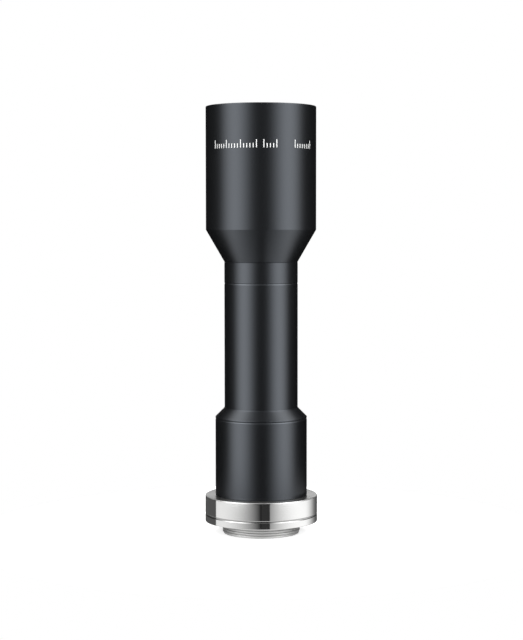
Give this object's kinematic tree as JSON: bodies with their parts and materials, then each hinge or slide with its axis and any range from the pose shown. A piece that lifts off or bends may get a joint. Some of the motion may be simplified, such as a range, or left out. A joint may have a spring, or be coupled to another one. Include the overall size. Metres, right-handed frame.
{
  "type": "bi-telecentric lens",
  "caption": "Fixed-focus machine-vision lens with a wide cylindrical front barrel, a cone, a slim tube, a rear barrel and a threaded bright metal camera mount.",
  "frame": {"origin": "on the optical axis, in the end face of the camera thread, which the lens stands on", "axes": "+Z along the optical axis from the camera mount to the object side; X and Y are free, because every piece is turned about Z"},
  "size_m": [0.0368, 0.0368, 0.1395],
  "materials": {
    "black_anodised": "satin black anodised",
    "bright_nickel": "bright nickel, fine turned",
    "matte_black": "matte black anodised",
    "coated_glass": "polished, anti-reflection coated"
  },
  "bodies": {
    "root": {"mount_flange": "bright_nickel", "coupling_ring": "bright_nickel", "rear_barrel": "black_anodised", "middle_tube": "black_anodised", "front_barrel": "black_anodised", "cell_lock_ring": "matte_black", "rear_cell": "matte_black", "rear_retaining_ring": "matte_black", "rear_meniscus": "coated_glass", "rear_lower_spacer": "matte_black", "rear_singlet": "coated_glass", "rear_upper_spacer": "matte_black", "rear_crown": "coated_glass", "rear_flint": "coated_glass", "rear_baffle": "matte_black", "aperture_stop": "matte_black", "stop_retaining_ring": "matte_black", "neck_baffle": "matte_black", "front_flint": "coated_glass", "front_crown": "coated_glass", "front_spacer": "matte_black", "front_singlet": "coated_glass", "front_retaining_ring": "matte_black"}
  },
  "joints": []
}
